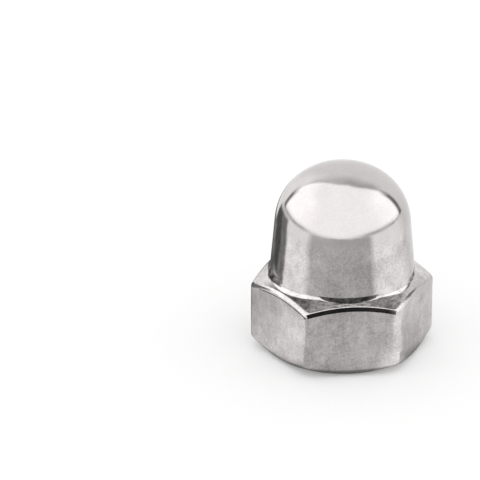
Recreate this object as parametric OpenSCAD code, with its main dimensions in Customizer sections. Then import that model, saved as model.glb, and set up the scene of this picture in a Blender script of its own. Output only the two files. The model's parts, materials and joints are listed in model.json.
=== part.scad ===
// Domed cap nut: a hexagon closed by a dome over a blind threaded hole.
// Sizes are in millimetres. The bearing face lies on z = 0 and the dome points up.
// Two corners of the hexagon lie on the x axis, and two flats face along y.

/* [Hexagon] */
// Width from flat to flat
across_flats = 10; // [9:0.1:13]
// Height of the hexagon, at the foot of the dome
hex_height = 4.9; // [4:0.1:6]
// Slope of the chamfer on top of the hexagon, in degrees from level
top_chamfer = 27; // [22:1:35]
// Slope of the chamfer under the hexagon, in degrees from level
bottom_chamfer = 30; // [25:1:35]
// Step from a flat in to the rim of the bearing face
bearing_step = 0.42; // [0.4:0.01:0.6]
// Radius of the rim of the bearing face
bearing_radius = 0.2; // [0.1:0.05:0.3]
// Radius of the six upright edges
corner_radius = 0.4; // [0.2:0.05:0.6]
// Radius of the curved edges between the flats and the chamfers
edge_radius = 0.35; // [0.2:0.05:0.45]

/* [Dome] */
// Height of the whole nut
total_height = 12; // [10:0.1:15]
// Step from a flat in to the foot of the dome
dome_step = 0.47; // [0.4:0.01:0.7]
// Lean of the dome's wall, in degrees from upright
dome_taper = 5; // [3:0.5:7]
// How much larger the crown's radius is than the radius of the dome's foot
crown_extra = 0.52; // [0.3:0.02:0.9]
// How much smaller the shoulder's radius is than the radius of the dome's foot
shoulder_less = 0.8; // [0.6:0.02:1.2]
// Radius of the hollow curve round the dome's foot
neck_radius = 0.3; // [0.15:0.05:0.35]

/* [Threaded hole] */
// Nominal diameter of the thread
thread_diameter = 6; // [4:0.5:7]
// Pitch of the thread
thread_pitch = 1; // [0.7:0.05:1.25]
// Step from the thread's outer diameter out to the rim of the countersunk mouth
mouth_step = 0.375; // [0.25:0.025:0.6]
// Radius of the rounded rim of the mouth
mouth_radius = 0.15; // [0.1:0.05:0.25]
// Metal left between the end of the hole and the top of the dome
crown_wall = 2; // [1.5:0.1:3]
// Angle of the hole's pointed end, in degrees
point_angle = 118; // [110:1:130]

/* [Hidden] */
$fn = 96;

// An arc crosses its line at this small angle, in degrees, so that the crossing is definite.
crease = 1.5;
// The same where an arc stands for the slightly different curve along a flat
flat_crease = 6;
// How far cutting shapes reach past what they cut
reach = 0.6;
// How far the turned section's outer line stands clear of the rounded upright edges
rim_gap = 0.01;

half_flats = across_flats / 2;
half_side = half_flats * tan(30);
corner_r = half_flats / cos(30);
bearing_r = half_flats - bearing_step;
dome_r = half_flats - dome_step;

// Heights of the chamfers' edges in the middle of a flat
top_mid = hex_height - dome_step * tan(top_chamfer);
bottom_mid = bearing_step * tan(bottom_chamfer);

// Outer line of the turned section, and where the chamfers meet it
rim_r = corner_r - corner_radius * (1 / cos(30) - 1) + rim_gap;
top_rim = hex_height - (rim_r - dome_r) * tan(top_chamfer);
bottom_rim = (rim_r - bearing_r) * tan(bottom_chamfer);

// The shoulder's arc runs from the dome's wall into the crown's arc.
crown_r = dome_r + crown_extra;
shoulder_r = dome_r - shoulder_less;
crown_z = total_height - crown_r;
wall_up = [-sin(dome_taper), cos(dome_taper)];
wall_out = [cos(dome_taper), sin(dome_taper)];
centre_gap = sqrt(crown_r ^ 2 + shoulder_r ^ 2 - 2 * crown_r * shoulder_r * cos(crease));
centre_out = wall_out * [dome_r, hex_height - crown_z] - shoulder_r * cos(crease);
centre_up = sqrt(centre_gap ^ 2 - centre_out ^ 2);
shoulder = [0, crown_z] + centre_out * wall_out + centre_up * wall_up;
shoulder_end = atan2(shoulder[1] - crown_z, shoulder[0]);

core_r = (thread_diameter - thread_pitch) / 2;
mouth_r = thread_diameter / 2 + mouth_step;
hole_tip = total_height - crown_wall;
hole_depth = hole_tip - core_r / tan(point_angle / 2);

function toward(angle) = [cos(angle), sin(angle)];

// Takes a corner off to a radius. The metal lies between directions a and b from the corner.
module corner_cutter(corner, a, b, radius, turn = crease) {
    middle = toward((a + b) / 2);
    centre = corner + middle * radius * cos(turn) / sin((b - a) / 2);
    difference() {
        polygon([
            centre,
            centre + toward(a - 90) * (radius + reach),
            corner - middle * reach,
            centre + toward(b + 90) * (radius + reach)
        ]);
        translate(centre) circle(radius);
    }
}

// Fills a corner to a hollow radius. The air lies between directions a and b from the corner.
module corner_fill(corner, a, b, radius) {
    middle = toward((a + b) / 2);
    centre = corner + middle * radius * cos(crease) / sin((b - a) / 2);
    in_metal = radius * 1.5;
    in_circle = radius * 0.5;
    difference() {
        polygon([
            corner - middle * in_circle,
            centre + toward(a - 90) * in_metal,
            centre + toward(a - 90) * in_circle,
            centre + toward(b + 90) * in_circle,
            centre + toward(b + 90) * in_metal
        ]);
        translate(centre) circle(radius);
    }
}

// Half of the dome's section, from inside the hexagon up to the crown. The shoulder is a slice
// of a circle that starts below its meeting with the wall and ends past its meeting with the crown.
module dome_section() {
    wall_foot = [dome_r, hex_height] - wall_up * hex_height / 4;
    wall_top = shoulder + wall_out * shoulder_r * cos(crease);
    slice_foot = shoulder - wall_up * shoulder_r * 0.4;
    past_crown = shoulder + toward(shoulder_end) * shoulder_r * 2;
    intersection() {
        union() {
            polygon([
                [0, wall_foot[1]],
                wall_foot,
                wall_top,
                shoulder,
                past_crown,
                [0, past_crown[1]]
            ]);
            intersection() {
                translate(shoulder) circle(shoulder_r);
                polygon([
                    slice_foot,
                    slice_foot + wall_out * shoulder_r * 2,
                    past_crown,
                    shoulder
                ]);
            }
        }
        union() {
            translate([0, crown_z]) circle(crown_r);
            square([2 * crown_r, crown_z + crown_r / 5]);
        }
    }
}

// Half of the section that the nut is turned to, as if it had no hole
module turned_section() {
    difference() {
        polygon([
            [0, 0],
            [bearing_r, 0],
            [rim_r, bottom_rim],
            [rim_r, top_rim],
            [dome_r - dome_step, hex_height + dome_step * tan(top_chamfer)],
            [0, hex_height + dome_step * tan(top_chamfer)]
        ]);
        corner_cutter([bearing_r, 0], bottom_chamfer, 180, bearing_radius);
        corner_cutter([rim_r, bottom_rim], 90, 180 + bottom_chamfer, edge_radius);
        corner_cutter([rim_r, top_rim], 180 - top_chamfer, 270, edge_radius);
    }
    corner_fill([dome_r, hex_height], -top_chamfer, 90 + dome_taper, neck_radius);
    dome_section();
}

module hexagon() {
    difference() {
        circle(corner_r, $fn = 6);
        for (i = [0:5])
            rotate(60 * i)
                corner_cutter([corner_r, 0], 120, 240, corner_radius);
    }
}

// Rounds the curved edge of the flat that faces -y. The chamfer starts at height mid in the
// middle of the flat, and the edge bends away from there: down if bend is 1, up if it's -1.
module flat_edge_cutter(mid, slope, bend) {
    drop = (corner_r - half_flats) * tan(slope);
    arc_r = (half_side ^ 2 + drop ^ 2) / (2 * drop);
    sweep = asin(half_side / arc_r) + 4;
    translate([0, -half_flats, mid - bend * arc_r])
        rotate([90, 0, 0])
            rotate(bend * 90 - sweep)
                rotate_extrude(angle = 2 * sweep)
                    corner_cutter([arc_r, 0], 180, 270 + slope, edge_radius, flat_crease);
}

// Half of the section of the hole, with its countersunk mouth and its drilled end
module hole_section() {
    polygon([
        [0, -reach],
        [mouth_r + reach, -reach],
        [core_r, mouth_r - core_r],
        [core_r, hole_depth],
        [0, hole_tip]
    ]);
    corner_cutter([mouth_r, 0], 0, 135, mouth_radius);
}

module cap_nut() {
    color([0.78, 0.78, 0.79])
        difference() {
            intersection() {
                translate([0, 0, -reach])
                    linear_extrude(total_height + 2 * reach)
                        hexagon();
                rotate_extrude()
                    turned_section();
            }
            for (i = [0:5])
                rotate(60 * i) {
                    flat_edge_cutter(top_mid, top_chamfer, 1);
                    flat_edge_cutter(bottom_mid, bottom_chamfer, -1);
                }
            rotate_extrude()
                hole_section();
        }
}

cap_nut();
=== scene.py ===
import json
import math

import bpy
from bpy.props import FloatProperty, FloatVectorProperty, IntProperty, PointerProperty
from mathutils import Matrix, Vector


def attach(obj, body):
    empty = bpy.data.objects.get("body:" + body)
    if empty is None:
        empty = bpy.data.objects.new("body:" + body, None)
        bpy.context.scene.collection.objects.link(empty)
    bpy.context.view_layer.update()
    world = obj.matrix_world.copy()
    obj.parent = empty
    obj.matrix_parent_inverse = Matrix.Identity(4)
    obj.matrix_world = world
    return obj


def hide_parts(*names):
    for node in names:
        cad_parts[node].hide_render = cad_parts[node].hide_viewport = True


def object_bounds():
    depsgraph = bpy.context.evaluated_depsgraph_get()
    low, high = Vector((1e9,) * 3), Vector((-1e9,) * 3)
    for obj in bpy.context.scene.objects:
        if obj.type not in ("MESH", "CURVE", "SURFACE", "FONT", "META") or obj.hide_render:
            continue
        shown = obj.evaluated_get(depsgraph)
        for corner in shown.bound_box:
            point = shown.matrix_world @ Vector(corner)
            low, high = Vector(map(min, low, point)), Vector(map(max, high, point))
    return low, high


bl_info = {
    "name": "Domed Cap Nut",
    "version": (1, 0, 0),
    "blender": (4, 5, 0),
    "location": "3D View > Sidebar > Cap Nut",
    "description": "Models a polished steel cap nut and the light studio that it stands in",
    "category": "Add Mesh",
}

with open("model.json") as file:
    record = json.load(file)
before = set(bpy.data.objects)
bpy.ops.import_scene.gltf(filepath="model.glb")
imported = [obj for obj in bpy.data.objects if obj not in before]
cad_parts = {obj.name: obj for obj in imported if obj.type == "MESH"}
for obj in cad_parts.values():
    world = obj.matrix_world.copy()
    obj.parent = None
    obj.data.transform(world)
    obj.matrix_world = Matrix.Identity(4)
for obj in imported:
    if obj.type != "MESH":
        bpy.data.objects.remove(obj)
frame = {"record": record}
cad_low, cad_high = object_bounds()

NODE = "cap_nut"
PIECE = "cap_nut_steel"

# The nut is modelled with one unit to the millimetre, which suits the tolerances of the
# boolean, bisect and bevel tools, and is brought down to metres at the end.
UNITS_PER_METRE = 1000.0
METRES_PER_UNIT = 1.0 / UNITS_PER_METRE
MERGE_GAP = 1e-4
HALF_CORNER = math.radians(30)
HEXAGON_SIDES = 6
FLAT_AZIMUTHS = [math.radians(30 + 60 * side) for side in range(HEXAGON_SIDES)]


def mount(name):
    """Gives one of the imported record's mounts."""
    for entry in frame["record"]["mounts"]:
        if entry["name"] == name:
            return entry
    raise ValueError(f"the record has no mount called {name}")


CORE_RADIUS = mount("thread")["dims"]["r_mm"] * METRES_PER_UNIT
THREAD_PITCH = 0.001
# The thread's profile, as shares of its pitch, and the slope of its flanks
THREAD_DEPTH = 0.5
THREAD_LAND = 0.149
CORE_ROUNDING = 0.07
OUTER_ROUNDING = 0.06
FLANK_ANGLE = math.radians(30)
ROUNDING_STEPS = 3
THREAD_STEPS = 96


class CapNutSizes(bpy.types.PropertyGroup):
    """Sizes of the nut, in metres and radians."""

    across_flats: FloatProperty(
        name="Across Flats",
        description="Width of the hexagon from flat to flat",
        default=cad_high.y - cad_low.y,
        min=0.004,
        unit="LENGTH",
    )
    hex_height: FloatProperty(
        name="Hexagon Height",
        description="Height of the hexagon at the foot of the dome",
        default=0.0049,
        min=0.001,
        unit="LENGTH",
    )
    top_chamfer: FloatProperty(
        name="Top Chamfer",
        description="Slope of the chamfer on top of the hexagon, from level",
        default=math.radians(27),
        unit="ROTATION",
    )
    bottom_chamfer: FloatProperty(
        name="Bottom Chamfer",
        description="Slope of the chamfer under the hexagon, from level",
        default=math.radians(30),
        unit="ROTATION",
    )
    bearing_step: FloatProperty(
        name="Bearing Step",
        description="Step from a flat in to the rim of the bearing face",
        default=0.00042,
        unit="LENGTH",
    )
    bearing_radius: FloatProperty(
        name="Bearing Rim Radius",
        description="Radius of the rim of the bearing face",
        default=0.0002,
        unit="LENGTH",
    )
    corner_radius: FloatProperty(
        name="Corner Radius",
        description="Radius of the hexagon's upright edges, and nearly that of its curved ones",
        default=0.0004,
        unit="LENGTH",
    )
    total_height: FloatProperty(
        name="Total Height",
        description="Height of the whole nut",
        default=cad_high.z - cad_low.z,
        min=0.004,
        unit="LENGTH",
    )
    dome_step: FloatProperty(
        name="Dome Step",
        description="Step from a flat in to the foot of the dome",
        default=0.00047,
        unit="LENGTH",
    )
    dome_taper: FloatProperty(
        name="Dome Taper",
        description="Lean of the dome's wall from upright",
        default=math.radians(5),
        unit="ROTATION",
    )
    crown_extra: FloatProperty(
        name="Crown Extra",
        description="How much larger the crown's radius is than the dome's foot",
        default=0.00052,
        unit="LENGTH",
    )
    shoulder_less: FloatProperty(
        name="Shoulder Less",
        description="How much smaller the shoulder's radius is than the dome's foot",
        default=0.0008,
        unit="LENGTH",
    )
    neck_radius: FloatProperty(
        name="Neck Radius",
        description="Radius of the hollow curve round the dome's foot",
        default=0.0005,
        unit="LENGTH",
    )
    core_radius: FloatProperty(
        name="Thread Core Radius",
        description="Inner radius of the thread",
        default=CORE_RADIUS,
        unit="LENGTH",
    )
    thread_pitch: FloatProperty(
        name="Thread Pitch",
        description="Rise of the thread in one turn",
        default=THREAD_PITCH,
        unit="LENGTH",
    )
    thread_end: FloatProperty(
        name="Thread End",
        description="Height at which the last of the thread runs out",
        default=0.0080,
        unit="LENGTH",
    )
    mouth_step: FloatProperty(
        name="Mouth Step",
        description="Step from the thread's outer diameter out to the countersunk rim",
        default=0.000375,
        unit="LENGTH",
    )
    mouth_radius: FloatProperty(
        name="Mouth Rim Radius",
        description="Radius of the rounded rim of the mouth",
        default=0.00015,
        unit="LENGTH",
    )
    crown_wall: FloatProperty(
        name="Crown Wall",
        description="Metal left between the hole's tip and the top of the dome",
        default=0.002,
        unit="LENGTH",
    )
    point_angle: FloatProperty(
        name="Point Angle",
        description="Angle of the hole's pointed end",
        default=math.radians(118),
        unit="ROTATION",
    )
    steps_round: IntProperty(
        name="Steps Round",
        description="Number of steps in one turn of the nut, a multiple of twelve",
        default=144,
        min=24,
    )


class CapNutColours(bpy.types.PropertyGroup):
    """Colours of the steel's finishes, as its reflections are tinted."""

    polished: FloatVectorProperty(
        name="Polished",
        description="Colour of the polished outside of the nut",
        default=(0.64, 0.612, 0.604),
        min=0.0,
        max=1.0,
        subtype="COLOR",
    )
    bearing: FloatVectorProperty(
        name="Bearing Face",
        description="Colour of the ground face that the nut stands on",
        default=(0.70, 0.686, 0.68),
        min=0.0,
        max=1.0,
        subtype="COLOR",
    )
    mouth: FloatVectorProperty(
        name="Mouth",
        description="Colour of the turned mouth of the hole",
        default=(0.50, 0.485, 0.478),
        min=0.0,
        max=1.0,
        subtype="COLOR",
    )
    tapped: FloatVectorProperty(
        name="Thread",
        description="Colour of the thread and of the rest of the hole",
        default=(0.40, 0.386, 0.380),
        min=0.0,
        max=1.0,
        subtype="COLOR",
    )


# ---- drawing sections ----


def heading(start, end):
    """Gives the direction from one point of a section to another, with length one."""
    across = end[0] - start[0]
    up = end[1] - start[1]
    length = math.hypot(across, up)
    return (across / length, up / length)


def rounded_moves(corners):
    """Turns corners (radius from the axis, height, rounding, steps) into lines and arcs."""
    moves = [("line", corners[0][:2])]
    for before, corner, after in zip(corners, corners[1:], corners[2:]):
        rounding, steps = corner[2:]
        if rounding == 0:
            moves.append(("line", corner[:2]))
            continue
        arriving = heading(before, corner)
        leaving = heading(corner, after)
        cross = arriving[0] * leaving[1] - arriving[1] * leaving[0]
        along = arriving[0] * leaving[0] + arriving[1] * leaving[1]
        turn = math.atan2(cross, along)
        side = math.copysign(1, turn)
        cut = rounding * math.tan(abs(turn) / 2)
        start = (corner[0] - arriving[0] * cut, corner[1] - arriving[1] * cut)
        centre = (start[0] - side * arriving[1] * rounding, start[1] + side * arriving[0] * rounding)
        moves.append(("line", start))
        moves.append(("arc", centre, turn, steps))
    moves.append(("line", corners[-1][:2]))
    return moves


def deselect_all():
    """Leaves edit mode and clears the selection."""
    active = bpy.context.view_layer.objects.active
    if active is not None and active.mode != "OBJECT":
        bpy.ops.object.mode_set(mode="OBJECT")
    bpy.ops.object.select_all(action="DESELECT")


def make_active(piece):
    """Makes one object the only selected one."""
    deselect_all()
    piece.select_set(True)
    bpy.context.view_layer.objects.active = piece


def edit_all():
    """Enters edit mode with everything selected."""
    bpy.ops.object.mode_set(mode="EDIT")
    bpy.ops.mesh.select_all(action="SELECT")


def start_point(place):
    """Adds a piece of one selected point, and stays in edit mode."""
    deselect_all()
    bpy.ops.mesh.primitive_plane_add(size=1.0)
    piece = bpy.context.active_object
    edit_all()
    bpy.ops.mesh.select_mode(type="VERT")
    bpy.ops.mesh.merge(type="CENTER")
    bpy.ops.transform.translate(value=place)
    return piece


def draw_section(name, moves):
    """Draws a section in the XZ plane, point by point, and stays in edit mode."""
    here = moves[0][1]
    piece = start_point((here[0], 0, here[1]))
    piece.name = name
    for move in moves[1:]:
        if move[0] == "line":
            step = (move[1][0] - here[0], 0, move[1][1] - here[1])
            bpy.ops.mesh.extrude_region_move(TRANSFORM_OT_translate={"value": step})
            here = move[1]
            continue
        centre, turn, steps = move[1:]
        bpy.ops.mesh.spin(
            steps=steps, angle=turn, center=(centre[0], 0, centre[1]), axis=(0, 1, 0)
        )
        across = here[0] - centre[0]
        up = here[1] - centre[1]
        here = (
            centre[0] + across * math.cos(turn) - up * math.sin(turn),
            centre[1] + across * math.sin(turn) + up * math.cos(turn),
        )
    return piece


def point_outwards():
    """Turns all faces of the piece being edited outwards."""
    bpy.ops.mesh.select_all(action="SELECT")
    bpy.ops.mesh.normals_make_consistent(inside=False)


def spin_round(steps):
    """Spins the section being edited once round the Z axis into a closed skin."""
    bpy.ops.mesh.select_all(action="SELECT")
    bpy.ops.mesh.spin(steps=steps, angle=math.tau, center=(0, 0, 0), axis=(0, 0, 1))
    bpy.ops.mesh.select_all(action="SELECT")
    bpy.ops.mesh.remove_doubles(threshold=MERGE_GAP)
    point_outwards()


def cut_flat(distance, azimuth):
    """Cuts the piece being edited flat, at a distance from the Z axis."""
    outward = (math.cos(azimuth), math.sin(azimuth), 0)
    bpy.ops.mesh.select_all(action="SELECT")
    bpy.ops.mesh.bisect(
        plane_co=[distance * part for part in outward],
        plane_no=outward,
        use_fill=True,
        clear_outer=True,
        threshold=MERGE_GAP,
    )


def use_modifier(piece, kind, **settings):
    """Adds a modifier to a piece and applies it."""
    make_active(piece)
    modifier = piece.modifiers.new(kind.title(), kind)
    for name, value in settings.items():
        setattr(modifier, name, value)
    bpy.ops.object.modifier_apply(modifier=modifier.name)


def cut_with(piece, cutter, operation):
    """Joins, cuts or trims a piece with another, which is then deleted."""
    use_modifier(piece, "BOOLEAN", operation=operation, solver="EXACT", object=cutter)
    bpy.data.objects.remove(cutter, do_unlink=True)


# The turned section is this many times as wide as the hexagon's corners, which are cut from it.
SECTION_MARGIN = 1.06
# The bore's radius is this much less than the thread core's, in millimetres.
BORE_GAP = 0.02
RIM_STEPS = 4
NECK_STEPS = 6
SHOULDER_STEPS = 16
CROWN_STEPS = 8
EDGE_STEPS = 6


def mouth_rim(sizes):
    """Gives the radius of the rim of the countersunk mouth, in metres."""
    return sizes.core_radius + sizes.thread_pitch * THREAD_DEPTH + sizes.mouth_step


def body_section(sizes):
    """Gives the turned nut's half-section, from the hole's tip round to the top of the dome."""
    mm = UNITS_PER_METRE
    half_flats = sizes.across_flats * mm / 2
    rim = half_flats / math.cos(HALF_CORNER) * SECTION_MARGIN
    bearing = half_flats - sizes.bearing_step * mm
    foot = half_flats - sizes.dome_step * mm
    hex_height = sizes.hex_height * mm
    bore = sizes.core_radius * mm - BORE_GAP
    mouth = mouth_rim(sizes) * mm
    tip = (sizes.total_height - sizes.crown_wall) * mm
    crown = foot + sizes.crown_extra * mm
    shoulder = foot - sizes.shoulder_less * mm
    crown_z = sizes.total_height * mm - crown
    taper = sizes.dome_taper
    wall_up = Vector((-math.sin(taper), math.cos(taper)))
    wall_out = Vector((math.cos(taper), math.sin(taper)))
    foot_point = Vector((foot, hex_height))
    out = wall_out.dot(foot_point - Vector((0, crown_z))) - shoulder
    up = math.sqrt((crown - shoulder) ** 2 - out ** 2)
    centre = Vector((0, crown_z)) + wall_out * out + wall_up * up
    wall_top = centre + wall_out * shoulder
    end = math.atan2(centre.y - crown_z, centre.x)
    corners = [
        (0, tip, 0, 0),
        (bore, tip - bore / math.tan(sizes.point_angle / 2), 0, 0),
        (bore, mouth - bore, 0, 0),
        (mouth, 0, sizes.mouth_radius * mm, RIM_STEPS),
        (bearing, 0, sizes.bearing_radius * mm, RIM_STEPS),
        (rim, (rim - bearing) * math.tan(sizes.bottom_chamfer), 0, 0),
        (rim, hex_height - (rim - foot) * math.tan(sizes.top_chamfer), 0, 0),
        (foot, hex_height, sizes.neck_radius * mm, NECK_STEPS),
        (wall_top.x, wall_top.y, 0, 0),
    ]
    moves = rounded_moves(corners)
    moves.append(("arc", tuple(centre), end - taper, SHOULDER_STEPS))
    moves.append(("arc", (0, crown_z), math.radians(90) - end, CROWN_STEPS))
    return moves


def round_hexagon(piece, sizes):
    """Rounds the upright edges and the curved edges where the flats meet the two chamfers."""
    half_flats = sizes.across_flats * UNITS_PER_METRE / 2
    bpy.ops.object.mode_set(mode="OBJECT")
    mesh = piece.data
    rims = set()
    for face in mesh.polygons:
        if abs(face.normal.z) < 0.01 and face.center.to_2d().length > half_flats * 0.95:
            rims.update(face.edge_keys)
    for edge in mesh.edges:
        edge.select = edge.key in rims
    bpy.ops.object.mode_set(mode="EDIT")
    bpy.ops.mesh.select_mode(type="EDGE")
    bpy.ops.mesh.bevel(
        offset_type="OFFSET",
        offset=sizes.corner_radius * UNITS_PER_METRE * math.tan(HALF_CORNER),
        segments=EDGE_STEPS,
        profile=0.5,
        affect="EDGES",
        clamp_overlap=False,
        loop_slide=True,
    )


def turn_body(sizes):
    """Turns the body, cuts the hexagon's flats on it and rounds their edges."""
    piece = draw_section(PIECE, body_section(sizes))
    spin_round(sizes.steps_round)
    for flat in FLAT_AZIMUTHS:
        cut_flat(sizes.across_flats * UNITS_PER_METRE / 2, flat)
    round_hexagon(piece, sizes)
    point_outwards()
    bpy.ops.object.mode_set(mode="OBJECT")
    return piece


# The tap's cone, whose slope lets the thread run out, and the tap's ends, in millimetres
LEAD_FOOT = -1.0
LEAD_PAST_END = 0.2
LEAD_GAP = 0.05
TAP_PAST_END = 0.4


def make_tap(sizes):
    """Makes the tap that cuts the thread: one turn's profile run up a screw, with a tapered end."""
    mm = UNITS_PER_METRE
    pitch = sizes.thread_pitch * mm
    core = sizes.core_radius * mm
    thread_end = sizes.thread_end * mm
    depth = THREAD_DEPTH * pitch
    land = THREAD_LAND * pitch
    flank = depth * math.tan(FLANK_ANGLE)
    inner = CORE_ROUNDING * pitch
    outer = OUTER_ROUNDING * pitch
    profile = rounded_moves(
        [
            (core, 0, 0, 0),
            (core, land, inner, ROUNDING_STEPS),
            (core + depth, land + flank, outer, ROUNDING_STEPS),
            (core + depth, pitch - land - flank, outer, ROUNDING_STEPS),
            (core, pitch - land, inner, ROUNDING_STEPS),
            (core, pitch, 0, 0),
        ]
    )
    tap = draw_section("tap", profile)
    bpy.ops.mesh.select_all(action="SELECT")
    bpy.ops.transform.translate(value=(0, 0, -2 * pitch))
    bpy.ops.object.mode_set(mode="OBJECT")
    use_modifier(
        tap,
        "SCREW",
        axis="Z",
        angle=math.tau,
        screw_offset=pitch,
        iterations=math.ceil(thread_end / pitch) + 3,
        steps=THREAD_STEPS,
        render_steps=THREAD_STEPS,
    )
    edit_all()
    bpy.ops.mesh.remove_doubles(threshold=MERGE_GAP)
    for height, side in ((-0.5 * pitch, -1), (thread_end + TAP_PAST_END, 1)):
        bpy.ops.mesh.select_all(action="SELECT")
        bpy.ops.mesh.bisect(
            plane_co=(0, 0, height),
            plane_no=(0, 0, side),
            use_fill=True,
            clear_outer=True,
            threshold=MERGE_GAP,
        )
    point_outwards()
    deselect_all()
    tip = core - LEAD_GAP
    length = thread_end + LEAD_PAST_END - LEAD_FOOT
    slope = depth / (2 * pitch)
    bpy.ops.mesh.primitive_cone_add(
        vertices=THREAD_STEPS,
        radius1=tip + length * slope,
        radius2=tip,
        depth=length,
        location=(0, 0, LEAD_FOOT + length / 2),
    )
    lead = bpy.context.active_object
    cut_with(tap, lead, "INTERSECT")
    return tap


FINAL_MERGE_GAP = MERGE_GAP * 5
SMOOTH_ANGLE = math.radians(35)


def finish_mesh(piece):
    """Brings the nut down to metres, smooths it and puts it in its place."""
    make_active(piece)
    edit_all()
    bpy.ops.mesh.remove_doubles(threshold=FINAL_MERGE_GAP)
    bpy.ops.mesh.dissolve_degenerate(threshold=MERGE_GAP)
    point_outwards()
    bpy.ops.object.mode_set(mode="OBJECT")
    piece.scale = (METRES_PER_UNIT,) * 3
    bpy.ops.object.transform_apply(location=True, rotation=True, scale=True)
    bpy.ops.object.shade_smooth_by_angle(angle=SMOOTH_ANGLE)
    use_modifier(piece, "WEIGHTED_NORMAL", mode="FACE_AREA", weight=50, keep_sharp=True)


# ---- materials ----


def new_material(name):
    """Starts a material with an empty node tree and gives the material and its tree."""
    material = bpy.data.materials.new(name)
    material.use_nodes = True
    material.node_tree.nodes.clear()
    return material, material.node_tree


def add_node(tree, kind, inputs=None, **settings):
    """Adds a node, with its settings and with values or links for its inputs."""
    node = tree.nodes.new(kind)
    for name, value in settings.items():
        setattr(node, name, value)
    for key, value in (inputs or {}).items():
        if isinstance(value, bpy.types.NodeSocket):
            tree.links.new(value, node.inputs[key])
        else:
            node.inputs[key].default_value = value
    return node


def calc(tree, operation, *values):
    """Adds a Math node and gives its output."""
    return add_node(tree, "ShaderNodeMath", dict(enumerate(values)), operation=operation).outputs[0]


def fade(tree, value, start, end, low=0.0, high=1.0):
    """Gives a value that goes smoothly from low to high as the input goes from start to end."""
    node = add_node(
        tree,
        "ShaderNodeMapRange",
        {"Value": value, "From Min": start, "From Max": end, "To Min": low, "To Max": high},
        interpolation_type="SMOOTHSTEP",
    )
    return node.outputs["Result"]


def blend(tree, share, low, high):
    """Mixes two numbers by a share from 0 to 1."""
    node = add_node(
        tree, "ShaderNodeMix", {"Factor": share, "A": low, "B": high}, data_type="FLOAT"
    )
    return node.outputs["Result"]


def noise(tree, place, scale, detail=2.0, roughness=0.5, stretch=None):
    """Gives noise by place, with the scale counted in grains to the metre."""
    if stretch is not None:
        mapping = add_node(tree, "ShaderNodeMapping", {"Vector": place, "Scale": stretch})
        place = mapping.outputs["Vector"]
    node = add_node(
        tree,
        "ShaderNodeTexNoise",
        {"Vector": place, "Scale": scale, "Detail": detail, "Roughness": roughness},
    )
    return node.outputs["Fac"]


def new_group(name, inputs, outputs):
    """Starts a shader node group and gives it with its ends. An input is a place or a number."""
    group = bpy.data.node_groups.new(name, "ShaderNodeTree")
    for label, value in inputs.items():
        kind = "NodeSocketVector" if value is None else "NodeSocketFloat"
        socket = group.interface.new_socket(label, in_out="INPUT", socket_type=kind)
        if value is not None:
            socket.default_value = value
    for label in outputs:
        group.interface.new_socket(label, in_out="OUTPUT", socket_type="NodeSocketFloat")
    start = group.nodes.new("NodeGroupInput")
    end = group.nodes.new("NodeGroupOutput")
    return group, start, end


def grain_group():
    """Makes the mottling that every finish of the steel shares."""
    group, start, end = new_group(
        "Steel Grain",
        {
            "Place": None,
            "Grain": 7000.0,
            "Cloud": 1600.0,
            "Streak": 2600.0,
            "Wave": 520.0,
            "Rings": 9000.0,
            "Turned": 0.0,
        },
        ("Tone", "Smear", "Height"),
    )
    place = start.outputs["Place"]
    fine = noise(group, place, start.outputs["Grain"], 2.0, 0.7)
    cloud = noise(group, place, start.outputs["Cloud"], 3.0, 0.6)
    streak = noise(group, place, start.outputs["Streak"], 2.0, 0.6, (1.0, 1.0, 0.3))
    wave = noise(group, place, start.outputs["Wave"], 1.0, 0.5)
    parts = add_node(group, "ShaderNodeSeparateXYZ", {"Vector": place}).outputs
    across = calc(group, "POWER", parts["X"], 2.0)
    deep = calc(group, "POWER", parts["Y"], 2.0)
    radius = calc(group, "SQRT", calc(group, "ADD", across, deep))
    section = add_node(group, "ShaderNodeCombineXYZ", {"X": radius, "Z": parts["Z"]})
    rings = noise(group, section.outputs["Vector"], start.outputs["Rings"], 2.0, 0.65)
    turned = start.outputs["Turned"]
    tone = calc(group, "MULTIPLY", fine, 0.38)
    for layer, share in ((cloud, 0.26), (streak, 0.11), (wave, 0.25)):
        tone = calc(group, "MULTIPLY_ADD", layer, share, tone)
    group.links.new(blend(group, turned, tone, rings), end.inputs["Tone"])
    group.links.new(cloud, end.inputs["Smear"])
    height = calc(group, "MULTIPLY_ADD", fine, 0.22, cloud)
    height = calc(group, "MULTIPLY_ADD", wave, 2.6, height)
    group.links.new(blend(group, turned, height, rings), end.inputs["Height"])
    return group


# The mottling of the nut's sides gives way to the crown's smoother polish between these heights.
CROWN_POLISH = (0.0078, 0.0090)


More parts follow.
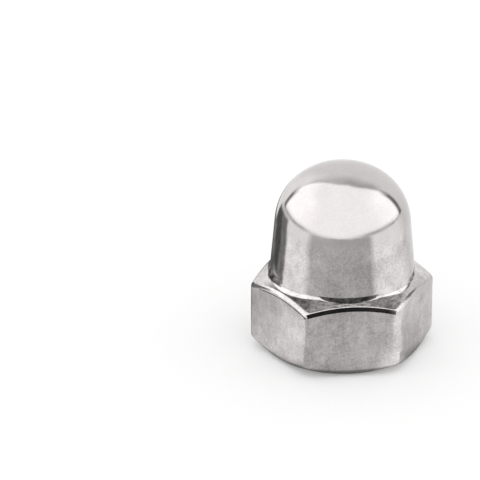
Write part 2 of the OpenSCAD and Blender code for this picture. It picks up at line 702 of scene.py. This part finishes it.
def steel_material(name, grain, colour, roughness, grains, mottle, bump, turned):
    """Makes one finish of the steel from the shared grain.

    Grains are the scales of its fine grain, clouds and streaks, mottle is how strongly they
    change its colour, bump is how high they stand, and turned is the share of turning rings.
    """
    material, tree = new_material(name)
    place = add_node(tree, "ShaderNodeTexCoord").outputs["Object"]
    texture = add_node(tree, "ShaderNodeGroup", node_tree=grain)
    tree.links.new(place, texture.inputs["Place"])
    for label, value in zip(("Grain", "Cloud", "Streak"), grains):
        texture.inputs[label].default_value = value
    texture.inputs["Turned"].default_value = turned
    height = add_node(tree, "ShaderNodeSeparateXYZ", {"Vector": place}).outputs["Z"]
    worn = fade(tree, height, *CROWN_POLISH, 1.0, 0.2)
    spread = calc(tree, "MULTIPLY", calc(tree, "SUBTRACT", texture.outputs["Tone"], 0.5), worn)
    tone = calc(tree, "MULTIPLY_ADD", spread, mottle, 1.0)
    base = add_node(
        tree, "ShaderNodeVectorMath", {0: colour, "Scale": tone}, operation="SCALE"
    ).outputs["Vector"]
    rough = fade(tree, texture.outputs["Smear"], 0.3, 0.7, roughness * 0.75, roughness * 1.3)
    relief = add_node(
        tree,
        "ShaderNodeBump",
        {"Height": texture.outputs["Height"], "Strength": worn, "Distance": bump},
    )
    shader = add_node(
        tree,
        "ShaderNodeBsdfPrincipled",
        {"Base Color": base, "Metallic": 1.0, "Roughness": rough, "Normal": relief.outputs["Normal"]},
    )
    add_node(tree, "ShaderNodeOutputMaterial", {"Surface": shader.outputs[0]})
    return material


# Faces are told apart by their place, with these margins in metres.
DRESS_MARGIN = 0.000025
BEARING_GAP = 1e-6


def dress_nut(piece, sizes, colours):
    """Gives each face of the nut its finish."""
    grain = grain_group()
    mesh = piece.data
    finishes = (
        ("polished_steel", colours.polished, 0.11, (8500.0, 1500.0, 2600.0), 2.3, 3.2e-6, 0.0),
        ("bearing_steel", colours.bearing, 0.34, (9500.0, 4200.0, 5000.0), 3.6, 9e-6, 0.1),
        ("mouth_steel", colours.mouth, 0.22, (9000.0, 2000.0, 3000.0), 1.6, 7e-6, 0.85),
        ("tapped_steel", colours.tapped, 0.24, (9000.0, 2000.0, 3000.0), 1.6, 5e-6, 0.6),
    )
    for name, *settings in finishes:
        mesh.materials.append(steel_material(name, grain, *settings))
    hole_rim = mouth_rim(sizes) + DRESS_MARGIN
    mouth_top = hole_rim - sizes.core_radius
    hole_top = sizes.total_height - sizes.crown_wall + DRESS_MARGIN
    for face in mesh.polygons:
        level = abs(face.normal.z)
        height = face.center.z
        if level > 0.999 and height < BEARING_GAP:
            finish = 1
        elif face.center.to_2d().length > hole_rim or height > hole_top:
            finish = 0
        elif height < mouth_top and level > 0.6:
            finish = 2
        else:
            finish = 3
        face.material_index = finish


# ---- studio ----


class CapNutStudio(bpy.types.PropertyGroup):
    """The studio round the nut."""

    floor_colour: FloatVectorProperty(
        name="Floor",
        description="Colour of the floor that the nut stands on",
        default=(0.85, 0.85, 0.85),
        min=0.0,
        max=1.0,
        subtype="COLOR",
    )
    view_azimuth: FloatProperty(
        name="View Azimuth",
        description="Turn of the camera round the nut, from straight in front of a flat",
        default=math.radians(-6),
        unit="ROTATION",
    )
    view_elevation: FloatProperty(
        name="View Elevation",
        description="Height of the camera above the horizon",
        default=math.radians(25.1),
        unit="ROTATION",
    )
    view_distance: FloatProperty(
        name="View Distance",
        description="Distance from the camera to the point that it looks at",
        default=0.2512,
        unit="LENGTH",
    )
    view_right: FloatProperty(
        name="View Right",
        description="How far right of the middle of the view the foot of the nut stands",
        default=0.006363,
        unit="LENGTH",
    )
    view_down: FloatProperty(
        name="View Down",
        description="How far below the middle of the view the foot of the nut stands",
        default=0.006325,
        unit="LENGTH",
    )
    view_lens: FloatProperty(
        name="Lens",
        description="Focal length of the camera",
        default=300.0,
        unit="CAMERA",
    )


def make_camera(studio):
    """Sets up the camera in front of the nut."""
    azimuth = studio.view_azimuth
    elevation = studio.view_elevation
    back = Vector(
        (
            math.sin(azimuth) * math.cos(elevation),
            -math.cos(azimuth) * math.cos(elevation),
            math.sin(elevation),
        )
    )
    right = Vector((math.cos(azimuth), math.sin(azimuth), 0))
    up = back.cross(right)
    target = up * studio.view_down - right * studio.view_right
    deselect_all()
    bpy.ops.object.camera_add(
        location=target + back * studio.view_distance,
        rotation=(math.radians(90) - elevation, 0, azimuth),
    )
    camera = bpy.context.active_object
    camera.name = "studio_camera"
    camera.data.lens = studio.view_lens
    camera.data.sensor_width = 36.0
    camera.data.clip_start = 0.01
    camera.data.clip_end = 10.0
    bpy.context.scene.camera = camera


def length_of(tree, place):
    """Gives the distance from a place to the origin."""
    return add_node(tree, "ShaderNodeVectorMath", {0: place}, operation="LENGTH").outputs["Value"]


def mix_with_clear(tree, see_through, shader):
    """Ends a material in a mix of a shader and a clear one, by how much can be seen through."""
    clear = add_node(tree, "ShaderNodeBsdfTransparent")
    mixed = add_node(
        tree,
        "ShaderNodeMixShader",
        {0: see_through, 1: shader.outputs[0], 2: clear.outputs[0]},
    )
    add_node(tree, "ShaderNodeOutputMaterial", {"Surface": mixed.outputs[0]})


def around(tree, place):
    """Gives the azimuth of a place, in degrees: 0 in front of the nut, growing towards +X."""
    parts = add_node(tree, "ShaderNodeSeparateXYZ", {"Vector": place}).outputs
    angle = calc(tree, "ARCTAN2", parts["X"], calc(tree, "MULTIPLY", parts["Y"], -1.0))
    return calc(tree, "DEGREES", angle), parts


def wall_reach(tree, from_back, height, on_left):
    """Gives how far out a direction is from the foot of the back wall's middle: 1 on its outline."""
    power = blend(tree, on_left, 6.0, 2.0)
    width = blend(tree, on_left, 67.0, 43.0)
    above = calc(tree, "MAXIMUM", height, 0.0)
    across = calc(tree, "POWER", calc(tree, "DIVIDE", from_back, width), power)
    upward = calc(tree, "POWER", calc(tree, "DIVIDE", above, 71.0), power)
    both = calc(tree, "ADD", across, upward)
    return calc(tree, "POWER", both, calc(tree, "DIVIDE", 1.0, power))


def wall_light(tree, reach, from_back, height, on_left):
    """Gives the light of the back wall, which is dusky near its top and lighter on the left."""
    high = fade(tree, height, 30.0, 50.0)
    dusk = calc(tree, "MULTIPLY", fade(tree, reach, 0.62, 0.93), high)
    side_light = calc(tree, "MULTIPLY", on_left, fade(tree, from_back, 8.0, 26.0, 0.0, 0.2))
    wall = calc(tree, "ADD", 0.90, side_light)
    aside = fade(tree, from_back, 0.0, 25.0)
    shade = blend(tree, aside, 0.61, blend(tree, on_left, 0.52, 0.70))
    return blend(tree, dusk, wall, shade)


def cloth_light(tree, azimuth, height):
    """Gives the light of the tent's cloth, with a dim line where it meets the floor in front."""
    aside = fade(tree, calc(tree, "ABSOLUTE", azimuth), 45.0, 100.0)
    low = fade(tree, height, 38.0, 62.0, 1.0, 0.0)
    more = calc(tree, "MULTIPLY", 0.22, calc(tree, "MULTIPLY", aside, low))
    cloth = calc(tree, "ADD", 1.34, more)
    apart = calc(tree, "ABSOLUTE", calc(tree, "ADD", azimuth, 20.0))
    outward = fade(tree, apart, 5.0, 65.0, 0.0, 6.5)
    rise = calc(tree, "MULTIPLY", outward, fade(tree, apart, 90.0, 125.0, 1.0, 0.4))
    over_foot = calc(tree, "SUBTRACT", height, rise)
    cloth = calc(tree, "MULTIPLY", cloth, fade(tree, over_foot, -5.0, 5.0, 0.62, 1.0))
    off_line = calc(tree, "ABSOLUTE", calc(tree, "ADD", over_foot, 3.0))
    line = fade(tree, off_line, 1.0, 3.0)
    front = fade(tree, apart, 38.0, 60.0)
    dim = calc(tree, "MULTIPLY", front, calc(tree, "SUBTRACT", 1.0, line))
    return calc(tree, "MULTIPLY", cloth, blend(tree, dim, 1.0, 0.58))


def under_light(tree, azimuth, height):
    """Gives the light from below the floor, which shows in the underside of the nut."""
    lobe = calc(tree, "COSINE", calc(tree, "RADIANS", calc(tree, "SUBTRACT", azimuth, 150.0)))
    under = calc(tree, "MULTIPLY_ADD", lobe, 0.40, 0.60)
    return blend(tree, fade(tree, height, -86.0, -50.0), 0.88, under)


def seam_light(tree, reach, height, on_left):
    """Gives the share of light that is left in the dark seam beside the back wall."""
    off_edge = calc(tree, "ABSOLUTE", calc(tree, "SUBTRACT", reach, 1.0))
    clear = fade(tree, off_edge, 0.03, blend(tree, on_left, 0.10, 0.16))
    right_top = fade(tree, height, 24.0, 44.0)
    left_top = fade(tree, height, 12.0, 30.0)
    clear = calc(tree, "MAXIMUM", clear, blend(tree, on_left, right_top, left_top))
    clear = calc(tree, "MAXIMUM", clear, fade(tree, height, -4.0, -12.0))
    return blend(tree, clear, 0.15, 1.0)


def make_tent():
    """Lights the studio: a pale world, where the steel mirrors a light tent and a grey back wall.

    Directions are given by azimuth and height above the horizon, in degrees.
    """
    world = bpy.data.worlds.new("studio_tent")
    bpy.context.scene.world = world
    world.use_nodes = True
    tree = world.node_tree
    tree.nodes.clear()
    aim = add_node(tree, "ShaderNodeTexCoord").outputs["Generated"]
    azimuth, parts = around(tree, aim)
    height = calc(tree, "DEGREES", calc(tree, "ARCSINE", parts["Z"]))
    on_left = calc(tree, "LESS_THAN", azimuth, 0.0)
    from_back = calc(tree, "SUBTRACT", 180.0, calc(tree, "ABSOLUTE", azimuth))
    reach = wall_reach(tree, from_back, height, on_left)
    wall = wall_light(tree, reach, from_back, height, on_left)
    glow = blend(tree, fade(tree, reach, 0.965, 1.025), wall, cloth_light(tree, azimuth, height))
    under = under_light(tree, azimuth, height)
    glow = blend(tree, fade(tree, height, -30.0, -8.0), under, glow)
    glow = calc(tree, "MULTIPLY", glow, seam_light(tree, reach, height, on_left))
    path = add_node(tree, "ShaderNodeLightPath").outputs
    mirrored = calc(tree, "MAXIMUM", path["Is Glossy Ray"], path["Is Transmission Ray"])
    strength = blend(tree, mirrored, 1.0, glow)
    strength = blend(tree, path["Is Camera Ray"], strength, 1.0)
    background = add_node(
        tree, "ShaderNodeBackground", {"Color": (1.0, 1.0, 1.0, 1.0), "Strength": strength}
    )
    add_node(tree, "ShaderNodeOutputWorld", {"Surface": background.outputs[0]})


# How bright the floor looks in the steel, by azimuth in degrees round the nut: painted tones
# that only reflections show. The near tones give way to the far ones between two distances
# from the nut's axis, and in reflections the floor is painted darker in the nut's own shade.
NEAR_TO_FAR = (0.0125, 0.0170)
OWN_SHADE = (0.0050, 0.0061, 0.45, 1.0)
FLOOR_LIFT = 0.18
FAR_TONES = (
    (-180, 0.93), (-120, 0.98), (-100, 1.05), (-66, 1.05), (-56, 0.57), (-28, 0.56), (-14, 0.50),
    (35, 0.50), (44, 1.05), (96, 1.02), (113, 0.76), (128, 0.82), (180, 0.93),
)
NEAR_TONES = (
    (-180, 0.5), (-158, 0.16), (-125, 0.12), (-108, 0.42), (-92, 0.76), (-76, 1.0), (-56, 1.0),
    (-44, 0.63), (15, 0.61), (20, 0.90), (26, 1.02), (46, 1.02), (58, 0.62), (84, 0.64),
    (100, 0.80), (150, 0.80), (180, 0.5),
)


def ramp_by_azimuth(tree, azimuth, stops):
    """Gives a colour that changes round the nut, through stops of azimuth and three values."""
    turn = calc(tree, "MULTIPLY_ADD", azimuth, 1.0 / 360.0, 0.5)
    ramp = add_node(tree, "ShaderNodeValToRGB", {"Fac": turn})
    marks = ramp.color_ramp.elements
    while len(marks) < len(stops):
        marks.new(0.5)
    for mark, (angle, *values) in zip(marks, stops):
        mark.position = angle / 360.0 + 0.5
        mark.color = (*values, 1.0)
    return ramp.outputs["Color"]


def tone_by_azimuth(tree, azimuth, tones):
    """Gives a tone that changes round the nut."""
    stops = [(angle, tone, tone, tone) for angle, tone in tones]
    return ramp_by_azimuth(tree, azimuth, stops)


def floor_material(floor_colour):
    """Makes the pale floor, which is clear from below and whose mirror image is painted with its own
    tones and shade.
    """
    material, tree = new_material("studio_floor")
    place = add_node(tree, "ShaderNodeTexCoord").outputs["Object"]
    azimuth, _ = around(tree, place)
    path = add_node(tree, "ShaderNodeLightPath").outputs
    distance = length_of(tree, place)
    near = tone_by_azimuth(tree, azimuth, NEAR_TONES)
    far = tone_by_azimuth(tree, azimuth, FAR_TONES)
    tone = blend(tree, fade(tree, distance, *NEAR_TO_FAR), near, far)
    tone = calc(tree, "MULTIPLY", tone, fade(tree, distance, *OWN_SHADE))
    tone = blend(tree, path["Is Glossy Ray"], 1.0, tone)
    colour = add_node(
        tree,
        "ShaderNodeMix",
        {"Factor": 1.0, 6: (*floor_colour, 1.0), 7: tone},
        data_type="RGBA",
        blend_type="MULTIPLY",
    ).outputs[2]
    diffuse = add_node(tree, "ShaderNodeBsdfDiffuse", {"Color": colour})
    mirrored = calc(tree, "ADD", path["Is Glossy Ray"], path["Is Transmission Ray"])
    seen = calc(tree, "ADD", path["Is Camera Ray"], mirrored)
    lift = calc(tree, "MULTIPLY", calc(tree, "MULTIPLY", seen, tone), FLOOR_LIFT)
    emission = add_node(tree, "ShaderNodeEmission", {"Strength": lift})
    lit = add_node(tree, "ShaderNodeAddShader", {0: diffuse.outputs[0], 1: emission.outputs[0]})
    behind = add_node(tree, "ShaderNodeNewGeometry").outputs["Backfacing"]
    mix_with_clear(tree, calc(tree, "MULTIPLY", behind, seen), lit)
    return material


# The floor reaches this far in under the bearing face, and lies this far below it, in metres.
FLOOR_OVERLAP = 0.0001
FLOOR_GAP = 0.00001
FLOOR_RADIUS = 1.5


def make_floor(sizes, floor_colour):
    """Lays the floor round the bearing face, with an opening under the nut."""
    deselect_all()
    inner = sizes.across_flats / 2 - sizes.bearing_step - FLOOR_OVERLAP
    bpy.ops.mesh.primitive_circle_add(vertices=96, radius=inner, location=(0, 0, -FLOOR_GAP))
    floor = bpy.context.active_object
    floor.name = "studio_floor"
    edit_all()
    bpy.ops.mesh.extrude_region_move()
    grow = FLOOR_RADIUS / inner
    bpy.ops.transform.resize(value=(grow, grow, 1))
    point_outwards()
    bpy.ops.object.mode_set(mode="OBJECT")
    bpy.ops.object.transform_apply(location=True, rotation=True, scale=True)
    if floor.data.polygons[0].normal.z < 0:
        floor.data.flip_normals()
    floor.data.materials.append(floor_material(floor_colour))


# The cards' streaks run on azimuth, as if it were this long to the degree, and on distance.
METRES_PER_DEGREE = 0.00002
CARD_STREAKS = 7000.0
SOFT_TOP = 0.0020


def card_material(name, tones, patchy, lens, past_flats):
    """Makes a card that gives off light from its front, patchy or even, and is clear behind.

    The tones are stops of azimuth, light and cover, so that a card can end softly, and they can
    have the height of its soft top, in centimetres. A lens, given as azimuth of its middle, half
    its width, height of its lowest point and rise at its ends, leaves the card clear under a
    curved lower edge. With past_flats, the card ends softly where it passes a front or left flat
    that lies this far from the axis.
    """
    material, tree = new_material(name)
    place = add_node(tree, "ShaderNodeTexCoord").outputs["Object"]
    azimuth, parts = around(tree, place)
    stops = [(*entry, 1.0)[:4] for entry in tones]
    ramp = ramp_by_azimuth(tree, azimuth, stops)
    tone = add_node(tree, "ShaderNodeSeparateColor", {"Color": ramp}).outputs
    along = calc(tree, "MULTIPLY", azimuth, METRES_PER_DEGREE)
    unrolled = add_node(tree, "ShaderNodeCombineXYZ", {"X": along, "Y": length_of(tree, place)})
    streaks = noise(tree, unrolled.outputs["Vector"], CARD_STREAKS, 4.0, 0.65)
    strength = fade(tree, streaks, 0.34, 0.66, 1 - patchy, 1 + patchy)
    strength = calc(tree, "MULTIPLY", strength, tone["Red"])
    over_top = calc(tree, "MULTIPLY_ADD", tone["Blue"], -0.01, parts["Z"])
    cover = calc(tree, "MULTIPLY", tone["Green"], fade(tree, over_top, -SOFT_TOP, 0.0, 1.0, 0.0))
    see_through = calc(tree, "SUBTRACT", 1.0, cover)
    behind = add_node(tree, "ShaderNodeNewGeometry").outputs["Backfacing"]
    see_through = calc(tree, "MAXIMUM", see_through, behind)
    if past_flats is not None:
        forward = calc(tree, "MULTIPLY", parts["Y"], -1.0)
        sideways = calc(tree, "MULTIPLY", parts["X"], -math.cos(HALF_CORNER))
        left_out = calc(tree, "MULTIPLY_ADD", parts["Y"], -math.sin(HALF_CORNER), sideways)
        beyond = calc(tree, "MAXIMUM", forward, left_out)
        edge = fade(tree, beyond, past_flats - 0.00014, past_flats + 0.00010)
        see_through = calc(tree, "MAXIMUM", see_through, edge)
    if lens is not None:
        middle, half_width, low, rise = lens
        aside = calc(tree, "DIVIDE", calc(tree, "SUBTRACT", azimuth, middle), half_width)
        edge = calc(tree, "MULTIPLY_ADD", calc(tree, "MULTIPLY", aside, aside), rise, low)
        ragged = calc(tree, "SUBTRACT", noise(tree, place, 9000.0, 2.0, 0.6), 0.5)
        edge = calc(tree, "MULTIPLY_ADD", ragged, 0.00012, edge)
        under = fade(tree, calc(tree, "SUBTRACT", parts["Z"], edge), -0.00001, 0.00002, 1.0, 0.0)
        see_through = calc(tree, "MAXIMUM", see_through, under)
    emission = add_node(tree, "ShaderNodeEmission", {"Strength": strength})
    mix_with_clear(tree, see_through, emission)
    return material


def finish_card(card, name, target, tones, patchy=0.0, lens=None, past_flats=None):
    """Turns a card's front to a target, names it and lets only reflections show it."""
    face = card.data.polygons[0]
    if face.normal.dot(Vector(target) - face.center) < 0:
        card.data.flip_normals()
    card.name = name
    card.data.materials.append(card_material(name, tones, patchy, lens, past_flats))
    card.visible_camera = False
    card.visible_diffuse = False
    card.visible_shadow = False


def draw_line(points):
    """Draws a line through points, and stays in edit mode with all of it selected."""
    piece = start_point(points[0])
    for start, end in zip(points, points[1:]):
        step = tuple(Vector(end) - Vector(start))
        bpy.ops.mesh.extrude_region_move(TRANSFORM_OT_translate={"value": step})
    bpy.ops.mesh.select_all(action="SELECT")
    return piece


def sweep_card(name, points, turn, centre, axis, target, tones, patchy=0.0, lens=None):
    """Sweeps a line of points round an axis into a curved card."""
    card = draw_line(points)
    bpy.ops.mesh.spin(steps=24, angle=turn, center=centre, axis=axis)
    bpy.ops.object.mode_set(mode="OBJECT")
    finish_card(card, name, target, tones, patchy, lens)


def shade_round(name, points, facing, tones, ends=None, patchy=0.8, lens=None):
    """Hangs a curved card round the nut.

    The points give the radius and height of the card's edges, and facing is the height on the
    nut's axis that its front looks to. It runs from the first tone to the last, or between ends.
    """
    start, stop = ends or (tones[0][0], tones[-1][0])
    start = math.radians(start)
    stop = math.radians(stop)
    line = [
        (radius * math.sin(start), -radius * math.cos(start), height) for radius, height in points
    ]
    target = (0, 0, facing)
    sweep_card(name, line, start - stop, (0, 0, 0), (0, 0, 1), target, tones, patchy, lens)


def shade_arc(sizes, name, azimuth, profile, left, right, tones):
    """Hangs a dark strip along the curved edge over one flat, seen only in reflections, where it
    paints a dark reflected band on the edge.

    The profile gives how far out from the flat and how far up from the curved edge it runs, and
    left and right give how much of each half of the edge it covers.
    """
    half_flats = sizes.across_flats / 2
    half_side = half_flats * math.tan(HALF_CORNER)
    slope = math.tan(sizes.top_chamfer)
    mid = sizes.hex_height - sizes.dome_step * slope
    drop = (half_flats / math.cos(HALF_CORNER) - half_flats) * slope
    arc = (half_side ** 2 + drop ** 2) / (2 * drop)
    start = math.asin(half_side * left / arc)
    stop = math.asin(half_side * right / arc)
    place = Matrix.Rotation(math.radians(azimuth), 3, "Z")
    points = []
    for out, up in profile:
        rise = arc + up
        point = (-rise * math.sin(start), -half_flats - out, mid - arc + rise * math.cos(start))
        points.append(place @ Vector(point))
    sweep_card(
        name,
        points,
        -(start + stop),
        (0, 0, mid - arc),
        tuple(place @ Vector((0, 1, 0))),
        tuple(place @ Vector((0, -half_flats * 0.9, mid * 0.8))),
        tones,
    )


def shade_chamfer(name, corners, height, past_flats, tones):
    """Hangs a dim, streaky card level over the chamfer, with its corners given as X and Y."""
    card = draw_line([(*corner, height) for corner in corners])
    bpy.ops.mesh.edge_face_add()
    bpy.ops.object.mode_set(mode="OBJECT")
    finish_card(card, name, (0, 0, 0), tones, 0.6, past_flats=past_flats)


def hang_edge_cards(sizes):
    """Hangs the dark strips along the curved edges over the front flat and the left one, which paint
    dark reflected bands on those edges.
    """
    gutter = ((0.00022, -0.00026), (0.00022, 0.00002), (0.00012, 0.00013), (-0.00006, 0.00018))
    tones = ((-34, 0.015, 0), (-31, 0.015, 1), (24, 0.02, 1), (28, 0.03, 0.9), (31, 0.05, 0.2))
    shade_arc(sizes, "arc_flag_front", 0, gutter, 1.03, 0.98, tones)
    strip = ((0.00022, -0.00038), (0.00022, -0.00021))
    tones = ((-84, 0.12, 0), (-78, 0.12, 1), (-32, 0.12, 1), (-30, 0.12, 0))
    shade_arc(sizes, "arc_flag_left", -60, strip, 0.80, 1.0, tones)


# The height on the nut's axis that the small cards round the dome's foot face
NECK_HEIGHT = 0.0047


def hang_neck_cards():
    """Hangs small dark cards round the hollow curve at the dome's foot, which paint dark reflections
    in that curve.
    """
    tones = (
        (-28, 0.11, 0), (-24, 0.10, 1), (-8, 0.07, 1), (8, 0.07, 1), (20, 0.12, 1),
        (25, 0.12, 0),
    )
    upright = ((0.00465, 0.00487), (0.00465, 0.00513))
    lens = (-1.5, 26.0, 0.00487, 0.00025)
    shade_round("neck_flag_front", upright, NECK_HEIGHT, tones, lens=lens)
    tones = ((-19, 0.10, 0), (-9, 0.09, 1), (6, 0.09, 1), (16, 0.10, 0))
    level = ((0.00462, 0.00495), (0.00471, 0.00495))
    shade_round("neck_shade_front", level, NECK_HEIGHT, tones)
    tones = ((-110, 0.16, 0), (-98, 0.16, 1), (-76, 0.20, 1), (-63, 0.30, 0))
    upright = ((0.00465, 0.00494), (0.00465, 0.00520))
    shade_round("neck_flag_left", upright, NECK_HEIGHT, tones)
    tones = ((58, 0.30, 0), (66, 0.30, 1), (92, 0.30, 1), (106, 0.30, 0))
    upright = ((0.00465, 0.00497), (0.00465, 0.00509))
    shade_round("neck_flag_right", upright, NECK_HEIGHT, tones)


def hang_chamfer_card():
    """Hangs the dim card that the chamfer mirrors over the front and left flats."""
    tones = (
        (-106, 0.40, 0.0), (-80, 0.22, 1), (-72, 0.15, 1), (-56, 0.16, 1), (-40, 0.24, 1),
        (-24, 0.42, 1), (-8, 0.58, 1), (6, 0.58, 1), (20, 0.34, 1), (34, 0.27, 1),
        (48, 0.45, 1), (62, 0.55, 0.3), (72, 0.6, 0.0),
    )
    corners = (
        (-0.0062, 0.0016), (-0.0062, 0.0003), (-0.0032, -0.0053), (0.0032, -0.0053),
        (0.0056, -0.0011), (0.0050, -0.0008), (0.0034, -0.0022), (-0.0038, 0.0016),
    )
    shade_chamfer("chamfer_flag", corners, 0.0059, 0.0051, tones)


def hang_side_cards():
    """Hangs cards that paint reflections: a dark, curved one for the neighbour on the left, a level
    one for its shade in the mirrored floor, and a light one that paints a pale reflected band by the
    right corner.
    """
    tones = (
        (-180, 0.16, 1.0, 0.52), (-168, 0.10, 1.0, 0.66), (-158, 0.14, 1.0, 0.60),
        (-150, 0.26, 1.0, 0.46), (-143, 0.22, 1.0, 0.50), (-137, 0.10, 1.0, 0.92),
        (-120, 0.09, 1.0, 1.0), (-117, 0.23, 1.0, 1.0), (-103, 0.20, 1.0, 1.0),
        (-100, 0.20, 0.0, 1.0), (172, 0.30, 0.0, 0.30), (180, 0.16, 1.0, 0.40),
    )
    upright = ((0.0165, 0.0), (0.0165, 0.0098))
    shade_round("neighbour", upright, 0.005, tones, (-189, -98), 0.25)
    tones = (
        (-180, 0.20, 1.0), (-164, 0.14, 1.0), (-140, 0.12, 1.0), (-128, 0.30, 0.7),
        (-120, 0.40, 0.0), (172, 0.30, 0.0), (180, 0.20, 1.0),
    )
    level = ((0.0100, 0.0001), (0.0165, 0.0001))
    shade_round("neighbour_shade", level, 0.005, tones, (-189, -118), 0.25)
    tones = ((25.2, 1.04, 0), (27.0, 1.04, 1), (59, 1.04, 1), (63.5, 1.04, 0))
    upright = ((0.0060, 0.0), (0.0060, 0.0046))
    shade_round("corner_light", upright, 0.002, tones, patchy=0.05)


class CAPNUT_OT_add_nut(bpy.types.Operator):
    """Turn the nut, cut its hexagon, round its edges and tap its hole"""

    bl_idname = "capnut.add_nut"
    bl_label = "Add Nut"
    bl_options = {"REGISTER", "UNDO"}

    def execute(self, context):
        sizes = context.scene.cap_nut_sizes
        piece = turn_body(sizes)
        cut_with(piece, make_tap(sizes), "DIFFERENCE")
        finish_mesh(piece)
        dress_nut(piece, sizes, context.scene.cap_nut_colours)
        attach(piece, "root")
        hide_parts(NODE)
        return {"FINISHED"}


class CAPNUT_OT_add_studio(bpy.types.Operator):
    """Set up the floor, the light tent, the cards and the camera"""

    bl_idname = "capnut.add_studio"
    bl_label = "Add Studio"
    bl_options = {"REGISTER", "UNDO"}

    def execute(self, context):
        scene = context.scene
        sizes = scene.cap_nut_sizes
        studio = scene.cap_nut_studio
        scene.view_settings.view_transform = "Standard"
        make_camera(studio)
        make_tent()
        make_floor(sizes, studio.floor_colour)
        hang_edge_cards(sizes)
        hang_neck_cards()
        hang_chamfer_card()
        hang_side_cards()
        return {"FINISHED"}


class CAPNUT_PT_panel(bpy.types.Panel):
    """Lists the steps that make the nut and its studio"""

    bl_idname = "CAPNUT_PT_panel"
    bl_label = "Cap Nut"
    bl_space_type = "VIEW_3D"
    bl_region_type = "UI"
    bl_category = "Cap Nut"

    def draw(self, context):
        layout = self.layout
        layout.operator(CAPNUT_OT_add_nut.bl_idname)
        layout.operator(CAPNUT_OT_add_studio.bl_idname)
        scene = context.scene
        for group in (scene.cap_nut_sizes, scene.cap_nut_colours, scene.cap_nut_studio):
            box = layout.box()
            for name in group.__annotations__:
                box.prop(group, name)


CLASSES = (
    CapNutSizes,
    CapNutColours,
    CapNutStudio,
    CAPNUT_OT_add_nut,
    CAPNUT_OT_add_studio,
    CAPNUT_PT_panel,
)


def register():
    """Registers the classes and puts their settings on the scene."""
    for entry in CLASSES:
        bpy.utils.register_class(entry)
    bpy.types.Scene.cap_nut_sizes = PointerProperty(type=CapNutSizes)
    bpy.types.Scene.cap_nut_colours = PointerProperty(type=CapNutColours)
    bpy.types.Scene.cap_nut_studio = PointerProperty(type=CapNutStudio)


def unregister():
    """Takes away what register added."""
    del bpy.types.Scene.cap_nut_studio
    del bpy.types.Scene.cap_nut_colours
    del bpy.types.Scene.cap_nut_sizes
    for entry in reversed(CLASSES):
        bpy.utils.unregister_class(entry)


def main():
    """Makes the nut and its studio."""
    register()
    bpy.ops.capnut.add_nut()
    bpy.ops.capnut.add_studio()


if __name__ == "__main__":
    main()
